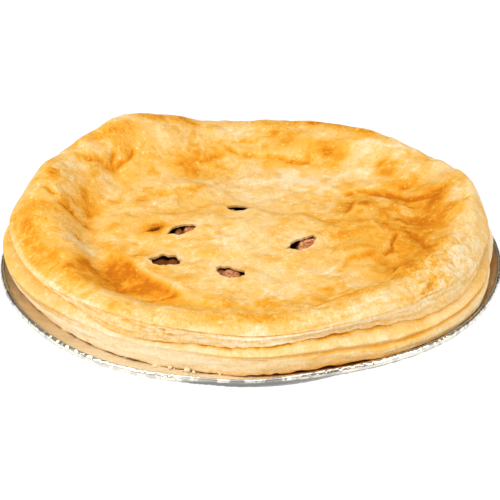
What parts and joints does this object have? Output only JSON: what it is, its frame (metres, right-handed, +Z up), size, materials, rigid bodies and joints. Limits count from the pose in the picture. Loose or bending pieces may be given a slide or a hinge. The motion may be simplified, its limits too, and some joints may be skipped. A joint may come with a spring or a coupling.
{
  "type": "steak and mushroom pie",
  "caption": "Round baked meat pie with a puffed, browned pastry lid slit over a dark filling, in a flared foil tin with a pleated rim.",
  "frame": {"origin": "middle of the tin's flat underside", "axes": "+Z up out of the tin, -Y towards the side seen nearest in the picture, +X to its right"},
  "size_m": [0.244, 0.244, 0.0613],
  "materials": {
    "foil": "bright, creased",
    "case_pastry": "baked, pale at the cut edge",
    "meat_filling": "wet gravy",
    "lid_pastry": "baked, egg-washed and browned in patches"
  },
  "bodies": {
    "root": {"foil_tin": "foil", "bottom_crust": "case_pastry", "filling": "meat_filling", "top_crust": "lid_pastry"}
  },
  "joints": []
}
